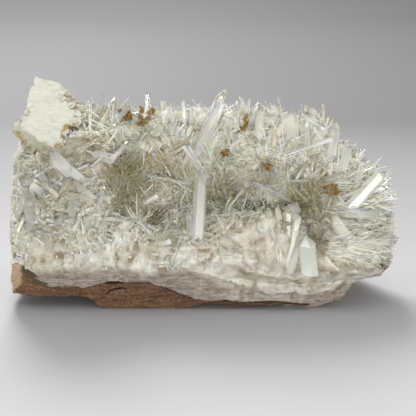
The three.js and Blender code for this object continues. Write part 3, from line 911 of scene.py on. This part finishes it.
# %% Frosted and clear needles
needle_piece(
    "frosted_needles_top", FROSTED, 13,
    (CROWN, 50, 26, (0.12, 0.3), (5, 10), 0.2),
    (BROW, 100, 26, (0.12, 0.28), (8, 16), 0.2),
    (SHOULDER, 14, 16, (0.15, 0.35), (5, 9), 0.2),
)
needle_piece(
    "frosted_needles_low", FROSTED, 14,
    # In the recesses the high shade is an olive tint with painted shade in it.
    (RECESS_LEFT, 100, 20, (0.12, 0.28), (5, 11), 0.8),
    (RECESS_RIGHT, 90, 18, (0.14, 0.35), (7, 14), 0.75),
    (LOW_LEFT, 14, 10, (0.14, 0.3), (6, 12), 0.3),
    (LEFT_WALL, 12, 8, (0.15, 0.3), (6, 12), 0.25),
    (LEFT_BACK, 30, 14, (0.15, 0.4), (9, 18), 0.2),
    (RIGHT_END, 30, 16, (0.18, 0.45), (7, 14), 0.2),
    (LEVEL, 40, 12, (0.15, 0.4), (15, 26), 0.2),
)
needle_piece(
    "clear_needles", NEEDLE, 15,
    (CROWN, 60, 6, (0.4, 1.0), (8, 14), 0.2),
    (BROW, 70, 8, (0.3, 0.8), (9, 17), 0.2),
    # In the recesses the high shade is an olive tint with painted shade in it.
    (RECESS_LEFT, 40, 8, (0.25, 0.6), (8, 15), 0.8),
    (RECESS_RIGHT, 50, 10, (0.3, 0.9), (7, 14), 0.75),
    (GAP, 30, 6, (0.4, 1.2), (6, 13), 0.35),
    (LOW_LEFT, 50, 4, (0.4, 1.2), (7, 14), 0.3),
    (LEFT_WALL, 60, 4, (0.4, 1.2), (7, 15), 0.25),
    (LEFT_BACK, 30, 14, (0.4, 1.1), (9, 18), 0.2),
    (SHOULDER, 30, 4, (0.5, 1.2), (7, 14), 0.2),
    (RIGHT_END, 30, 6, (0.35, 1.0), (7, 14), 0.2),
    (RIGHT_FACE, 30, 6, (0.4, 1.3), (8, 18), 0.2),
    (LEVEL, 40, 12, (0.3, 0.9), (15, 26), 0.2),
)

# %% The finest needles
needle_piece(
    "fine_needles", FROSTED, 16,
    (CROWN, 260, 30, (0.08, 0.18), (4, 8), 0.06),
    (BROW, 220, 30, (0.08, 0.18), (4, 9), 0.06),
    (SHOULDER, 130, 26, (0.08, 0.2), (4, 9), 0.06),
    sides=3,
)
needle_piece(
    "fine_needles_low", FROSTED, 17,
    # In the recesses the high shade is an olive tint with painted shade in it.
    (RECESS_LEFT, 80, 24, (0.1, 0.2), (4, 10), 0.8),
    (RECESS_RIGHT, 80, 24, (0.1, 0.25), (5, 12), 0.75),
    (GAP, 40, 20, (0.1, 0.25), (5, 11), 0.35),
    (LOW_LEFT, 90, 28, (0.08, 0.18), (3, 7), 0.3),
    (LEFT_WALL, 130, 28, (0.08, 0.18), (3, 6), 0.25),
    (LEFT_BACK, 50, 22, (0.1, 0.25), (5, 10), 0.2),
    (RIGHT_FACE, 90, 24, (0.1, 0.24), (8, 16), 0.1),
    (RIGHT_END, 60, 24, (0.1, 0.22), (4, 9), 0.06),
    sides=3,
)
needle_piece("back_needles", FROSTED, 18, (BACK_SIDE, 150, 12, (0.5, 1.3), (5, 11), 0.2))

# %% [markdown]
# ## The sugary crust
# Along the front and on the left end, stubby grains lie on the crust. A grain could be a ball, but quartz is
# never round: the grains are crystals too, only short, so the same function makes them.

# %% Where the grains lie
FRONT_GRAINS = dict(low=(-90, -50, 14), high=(4, -22, 46), fan=0.9, width=4)
END_GRAINS = dict(FRONT_GRAINS, low=(-90, -36, 20), high=(-83, 42, 74))
needle_piece(
    "sugar_grains", SUGAR, 19,
    (FRONT_GRAINS, 150, 3, (0.3, 0.7), (1, 2.4), 0.05),
    (END_GRAINS, 170, 3, (0.3, 0.7), (1, 2.4), 0.1),
    flat=0.7, point=0.5, uneven=0.9,
)

# %% [markdown]
# ## The host rock
# The slab broke out of the ground with the cluster on it, and its front is a fresh break with a scar at the
# left. A box with a bumpy finish would show straight edges against the floor, so the slab is a closed skin
# like the bed's, from the same formulas as the solid slab.

# %% The slab's skin
ROCK_ROWS = 240
ROCK_COLUMNS = (60, 50, 50, 60)


def slab_underside(x, y):
    """A flat foot, with the left end and the right front edge clear of the table."""
    left = LEFT_LIFT * fade(x, -54, -45)
    edge = EDGE_LIFT * fade(y, -43, -36) * smoothstep(x, -12, 0)
    return left + edge


def slab_front(x, high):
    """The front face: its left stretch is a scar, set back behind the hump beside it."""
    scar = 2.4 * fade(x + 14 * (1 - high), -46, -38)
    corner = 3 * fade(x, LEFT - 1, -79)
    return FRONT - 1.2 + scar + corner + 2 * (1 - high)


def slab_skin():
    """The slab's closed skin, from left to right, up to the seam with the bed."""
    across, size = end_rows(ROCK_ROWS)
    deep, high = loop_shares(ROCK_COLUMNS)
    x = lerp(LEFT - 0.8, SLAB_RIGHT, across)
    y = lerp(slab_front(x, high), BACK - 2 - 6 * across, deep)
    taper = 1.6 * smoothstep(x, 30, SLAB_RIGHT) * fade(y, -40, -20)
    z = lerp(slab_underside(x, y), seam_height(x, y) - taper, high)
    return closed_skin(x, y, z, size, 2)


points, faces = slab_skin()
print("slab points:", len(points))

# %% The slab's fresh break
CRACK = [(-35.5, 9.3), (-38.0, 10.0), (-41.0, 9.6), (-43.2, 8.2)]
CHIP = [(-42.8, 8.6), (-45.0, 6.0), (-48.5, 4.0), (-53.5, 2.9)]
STAIN = [(-81, 17), (-76, 13.5), (-68, 11.5)]


def distance_to_line(x, z, line):
    """Distance in the front plane from each point to a line of straight stretches."""
    line = np.array(line, float)
    nearest = np.full(x.shape, np.inf)
    for start, end in zip(line[:-1], line[1:]):
        step = end - start
        share = np.clip(((x - start[0]) * step[0] + (z - start[1]) * step[1]) / (step @ step), 0, 1)
        gap = np.hypot(x - start[0] - share * step[0], z - start[1] - share * step[1])
        nearest = np.minimum(nearest, gap)
    return nearest


def broken(points):
    """Swells with a fine grain, fading out at the flat foot. The crack is cut in, and the chip's edge is a
    step. Also gives where the left end lit by painted light, the stain and the dark cracks are."""
    x, y, z = points.T
    push = 0.6 * swells(points, 12, 41, 4, 17) + 0.22 * swells(points, 1.6, 61, 2, 5)
    front = fade(y, FRONT + 3, FRONT + 7)
    wander = 0.5 * rough_noise(points, 3, 67, 2)
    crack = front * fade(distance_to_line(x + wander, z + 0.5 * wander, CRACK), 0.1, 0.5)
    chip = front * fade(distance_to_line(x + wander, z + wander, CHIP), 0.1, 0.6)
    stain = front * fade(distance_to_line(x, z + 2 * wander, STAIN), 0.6, 2.6)
    # Where the left end face is painted lighter, as painted light.
    painted_lit_end = fade(x + 0.5 * wander, -82.8, -81.8) * smoothstep(z + 1.05 * (-82.3 - x), 9.5, 11)
    moved = points + smoothstep(points[:, 2:], 0.05, 1.5) * push
    moved[:, 1] += 1.6 * crack + 0.4 * chip
    moved[:, 2] = np.maximum(moved[:, 2], 0)
    return moved, {"painted_lit_end": painted_lit_end, "stain": stain, "crack": np.clip(crack + 0.6 * chip, 0, 1)}


points, values = broken(points)
new_piece("host_rock_slab", points, faces, ROCK, ("host_rock",), True, values)

# %% [markdown]
# ## The feldspar block
# A cream block leans back at the top left, striated along its cleavage and crumbling at its rim and foot. It
# could be cut from a box, but its outline is stepped and ragged, so its skin is a stack of rounded rectangles
# whose ends follow a left and a right edge.

# %% The block's skin
BLOCK_ROWS, BLOCK_SIDE = 210, 62
BLOCK_EDGES = [
    # height, left edge, right edge
    (64.8, -77.5, -73.5), (66.2, -82, -68), (69, -84.5, -65.5), (72, -85, -64),
    (75.5, -87, -63.5), (77.2, -87.2, -62.5), (78.2, -86.9, -58.8), (80, -84, -58.3),
    (83.5, -82.6, -57), (85.2, -82.4, -57.6), (86, -82, -59.8), (88.3, -81.2, -61.2),
    (89.2, -81.6, -63), (92.6, -80.7, -65), (95, -80.4, -63.8), (96, -78.8, -64.2),
    (97.4, -78.9, -65.6), (100.3, -78, -66.5),
]


def block_edges(height):
    """The left and right edges at each height, in straight stretches."""
    heights, *edges = np.array(BLOCK_EDGES).T
    return (np.interp(height, heights, edge) for edge in edges)


def block_skin():
    """The block's closed skin, from bottom to top, leaning back as it rises."""
    up, size = end_rows(BLOCK_ROWS)
    deep, across = loop_shares((BLOCK_SIDE,) * 4)
    height = lerp(BLOCK_EDGES[0][0], BLOCK_EDGES[-1][0], up)
    left, right = block_edges(height)
    lean = 8 * up - 2 * fade(up, 0, 0.4)
    y = lerp(-16 + lean, 5 + 2 * up, deep)
    z = height - 3.5 * (across + deep) * smoothstep(up, 0.7, 1)
    return closed_skin(lerp(left, right, across), y, z, size, 2)


points, faces = block_skin()
print("block points:", len(points))

# %% The block's cleavage and crumbs


def crumbled(points):
    """Level grooves on the faces, and crumbs along the left rim, the right shelf and the foot. Also gives how
    deep in a pit each point is, and where painted shade darkens the lower left."""
    x, y, z = points.T
    left, right = block_edges(z)
    swell = swells(points, 4, 71, 4, 13)
    groove = rough_noise(points * np.array([0.15, 0.15, 1]) + 0.4 * swell, 1.1, 81, 2)
    wander = 1.5 * rough_noise(points, 4, 77, 3)
    rim = fade(x - left + wander, 0.5, 3) * smoothstep(88 - z, 0, 4)
    shelf = smoothstep(x - right + wander, -5, -1) * smoothstep(94 - z, 0, 4)
    foot = fade(z + wander, 67, 70)
    crumb = np.clip(rim + shelf + foot, 0, 1)
    coarse, fine = cell_noise(points, 2.0, 85), cell_noise(points, 1.0, 87)
    pit = crumb * smoothstep(coarse + 0.6 * fine, 0.65, 1.05)
    # Below a sloping line at the lower left, the face is set back and marked for painted shade.
    slope = 76.5 - z - 0.45 * (x + 84) + wander
    leftness = fade(x, -74, -70)
    out = points - np.array([-73, -4, 82])
    out /= np.linalg.norm(out, axis=-1, keepdims=True)
    crumbs = crumb * (2.8 * (0.5 - coarse) + 1.3 * (0.5 - fine))
    push = 0.12 * groove * (1 - crumb) + 0.25 * (0.5 - fine) + crumbs
    moved = points + (0.35 + 0.9 * crumb)[:, None] * swell
    moved = moved + (0.15 + 0.5 * crumb)[:, None] * swells(points, 1.8, 95, 2, 7) + out * push[:, None]
    moved[:, 1] += 2.0 * smoothstep(slope, 0, 4) * leftness * fade(y, -12, -6)
    return moved, {"pit": pit, "painted_low_shade": smoothstep(slope, -0.6, 0.8) * leftness}


points, values = crumbled(points)
new_piece("feldspar_block_fine", points, faces, FELDSPAR, ("feldspar_block",), True, values)

# %% [markdown]
# ## The ochre grains
# Each lump is a heap of tiny rhombs. A lump could be one bumpy ball, but would look moulded when seen close,
# so each is a few hundred small blocks round a dozen middles.

# %% Lumps of grains
CUBE = np.array(list(np.ndindex(2, 2, 2)), float) - 0.5
CUBE_FACES = np.array([[0, 1, 3, 2], [4, 6, 7, 5], [0, 4, 5, 1], [2, 3, 7, 6], [0, 2, 6, 4], [1, 5, 7, 3]])
GRAIN_SIZES = (0.2, 0.6)
GRAINS_IN_LUMP, HEAPS = 340, 12


def grains(dice, centres):
    """A small leaning block at each centre: a cube's corners, sheared and turned at random."""
    count = len(centres)
    sizes = dice.uniform(*GRAIN_SIZES, count)
    turn = np.linalg.qr(dice.normal(size=(count, 3, 3)))[0]
    turn *= np.sign(np.linalg.det(turn))[:, None, None]
    sheared = CUBE + 0.25 * CUBE[:, [1, 2, 0]]
    points = np.einsum("nij,kj->nki", turn, sheared) * sizes[:, None, None] + centres[:, None]
    faces = CUBE_FACES[None] + np.arange(count)[:, None, None] * len(CUBE)
    return points.reshape(-1, 3), [faces.reshape(-1, 4)]


heap_middles = []
for number, (*middle, size) in enumerate(OCHRE_LUMPS, 1):
    dice = np.random.default_rng(20 + number)
    heaps = np.array(middle) + dice.normal(size=(HEAPS, 3)) * size * np.array([0.48, 0.3, 0.48])
    picked = heaps[dice.integers(0, HEAPS, GRAINS_IN_LUMP)]
    points, faces = grains(dice, picked + dice.normal(size=picked.shape) * size * 0.17)
    new_piece(f"ochre_lump_{number}", points, faces, OCHRE, (f"ochre_grains_{number}",))
    heap_middles.append(heaps)

# %% [markdown]
# ## Needles that carry the lumps
# The lumps sit among the needle tips, and would float when seen from behind. Needles straight under them
# would look like stalks, so each comes leaning from behind and below, and ends in a heap of grains.

# %% Carrying needles
dice = np.random.default_rng(32)
tips = np.concatenate(heap_middles)
roots = tips + (0, 9, -8) + dice.uniform(-1, 1, tips.shape) * (6, 2.5, 3)
crystal_piece("carrying_needles", dice, roots, tips, dice.uniform(0.25, 0.6, len(tips)), NEEDLE, 0.2)

# %% [markdown]
# ## Specks of ochre
# Loose specks of the same grains lie on the needles, most of them at the right end. Dots of colour would
# swim on clear needles, so the specks are grains too, seven in each.

# %% Specks
SPECK_GRAINS = 7
SPECK_ZONES = [
    # low corner, high corner, specks
    ((56, -34, 20), (90, 0, 60), 26),
    ((-48, -20, 50), (36, 10, 90), 22),
    ((8, -40, 14), (60, -20, 40), 10),
    ((-84, -40, 24), (-48, -10, 60), 8),
]
dice = np.random.default_rng(30)
specks = []
for low, high, count in SPECK_ZONES:
    inside = np.flatnonzero(((face_middle > low) & (face_middle < high)).all(axis=-1))
    picked = dice.choice(inside, count)
    specks.append(face_middle[picked] + face_out[picked] * dice.uniform(1, 7, (count, 1)))
specks = np.repeat(np.concatenate(specks), SPECK_GRAINS, axis=0)
points, faces = grains(dice, specks + dice.normal(size=specks.shape) * 0.35)
new_piece("ochre_specks", points, faces, OCHRE)

# %% [markdown]
# ## The floor
# The specimen stands on a plain pale sheet. A flat colour would be as bright at the back as in front, so the
# sheet greys with distance, a painted shade, and is a little brighter at the left, a painted light.

# %% Floor
FLOOR_HALF = 4.0


def floor_material():
    """Two ramps of grey from front to back, painted shade that darkens with distance, mixed from the right
    side to a left made brighter with painted light.
    """
    finish = Finish("pale floor", Roughness=0.8)
    place = finish.node("SeparateXYZ", links={0: finish.place}).outputs
    reach = finish.node("MapRange", {"From Min": -0.1, "From Max": 1.4}, {"Value": place["Y"]})
    reach = reach.outputs["Result"]
    spans = {"From Min": -0.2, "From Max": 0.02, "To Min": 1.0, "To Max": 0.0}
    left = finish.node("MapRange", spans, {"Value": place["X"]}, interpolation_type="SMOOTHSTEP")
    # Both ramps grey with distance, as painted shade, and the left one is brighter, as painted light.
    near = ((0.0, (0.57, 0.57, 0.58)), (0.2, (0.33, 0.325, 0.325)))
    sheet = finish.ramp(reach, *near, (0.4, (0.095, 0.092, 0.092)), (1.0, (0.036, 0.034, 0.034)))
    brighter = finish.ramp(reach, *near, (0.4, (0.125, 0.125, 0.126)), (1.0, (0.034, 0.033, 0.033)))
    finish.link("Base Color", finish.mix(left.outputs["Result"], sheet, brighter))
    return finish.material


floor_mesh = bpy.data.meshes.new("floor")
corners = [(FLOOR_HALF * x, FLOOR_HALF * y, 0) for x, y in ((-1, -1), (1, -1), (1, 1), (-1, 1))]
floor_mesh.from_pydata(corners, [], [(0, 1, 2, 3)])
floor_mesh.materials.append(floor_material())
floor = in_scene("floor", floor_mesh)
print("floor:", 2 * FLOOR_HALF, "m square")

# %% [markdown]
# ## Light
# Soft light comes from above, behind and left, so the needles glow and the shadow falls to the front. Small
# lamps would give hard edges and bright specks inside the clear stone, so they are large. Clear crystals show
# what is round them and look like steel in a black room, so the world is bright low down and behind, and a
# low card lights them from the front.

# %% Lamps
MIDDLE = Vector((0, 0, 0.04))


def soft_lamp(name, place, size, power, height=None):
    """A flat lamp that faces the middle of the specimen and isn't itself seen. A height makes it oblong."""
    lamp = bpy.data.lights.new(name, "AREA")
    lamp.shape, lamp.size, lamp.energy = "SQUARE", size, power
    if height:
        lamp.shape, lamp.size_y = "RECTANGLE", height
    holder = in_scene(name, lamp)
    holder.location = place
    holder.rotation_euler = (MIDDLE - Vector(place)).to_track_quat("-Z", "Y").to_euler()
    holder.visible_camera = False
    print(name, power, "W")


soft_lamp("low back lamp", (-0.3, 2.3, 1.3), 0.9, 40)
soft_lamp("high back lamp", (-0.4, 2.15, 1.45), 0.9, 40)
soft_lamp("front card", (0, -1.0, 0.09), 1.6, 8.5, height=0.16)

# %% The world
SPAN_SOCKETS = ("From Min", "From Max", "To Min", "To Max")
WORLD_LIGHT = (
    # direction, then the span along it and the strengths at the two ends of the span
    ((-0.1, 0.8, -0.55), (-0.7, 0.5, 0.2, 0.8)),
    ((0, 0, 1), (0.1, 0.35, 0.4, 0.22)),
)


def studio_world():
    """Light from all round: the sum of a part that grows low down and behind, and one that fades overhead."""
    world = bpy.data.worlds.new("studio")
    world.use_nodes = True
    tree = world.node_tree
    heading = add_node(tree, "TexCoord").outputs["Generated"]
    levels = {}
    for number, (direction, span) in enumerate(WORLD_LIGHT):
        part = add_node(tree, "VectorMath", {1: direction}, {0: heading}, operation="DOT_PRODUCT")
        level = add_node(tree, "MapRange", dict(zip(SPAN_SOCKETS, span)), {"Value": part.outputs["Value"]})
        levels[number] = level.outputs["Result"]
    both = add_node(tree, "Math", links=levels)
    background = tree.nodes["Background"].inputs
    tree.links.new(both.outputs["Value"], background["Strength"])
    background["Color"].default_value = (0.99, 0.99, 1, 1)
    return world


bpy.context.scene.world = studio_world()
print("world:", bpy.context.scene.world.name)

# %% [markdown]
# ## Camera, and how light travels
# The camera stands a little above the specimen and well away, with a long lens: from close up, what is near
# would look too big. Light may bounce many times, because each needle in front of another bends it twice, and
# too few bounces would leave black spots.

# %% Camera and light paths
CAMERA_TARGET = Vector((1.2, -5, 38)) * MM
CAMERA_DISTANCE = 0.73
CAMERA_HEIGHT_ANGLE = math.radians(12)
LENS, SENSOR = 135, 36
MANY_BOUNCES = 32
scene = bpy.context.scene
camera_data = bpy.data.cameras.new("camera")
camera_data.lens, camera_data.sensor_width, camera_data.clip_start = LENS, SENSOR, 0.01
camera = in_scene("camera", camera_data)
back = Vector((0, -math.cos(CAMERA_HEIGHT_ANGLE), math.sin(CAMERA_HEIGHT_ANGLE)))
camera.location = CAMERA_TARGET + back * CAMERA_DISTANCE
camera.rotation_euler = (math.pi / 2 - CAMERA_HEIGHT_ANGLE, 0, 0)
bpy.context.scene.camera = camera
scene.view_settings.view_transform = "Standard"
scene.cycles.max_bounces = MANY_BOUNCES
scene.cycles.transmission_bounces = MANY_BOUNCES
scene.cycles.glossy_bounces = MANY_BOUNCES
scene.cycles.diffuse_bounces = 12
scene.cycles.blur_glossy = 0
scene.cycles.sample_clamp_indirect = 8
print("camera at:", [round(place, 3) for place in camera.location])
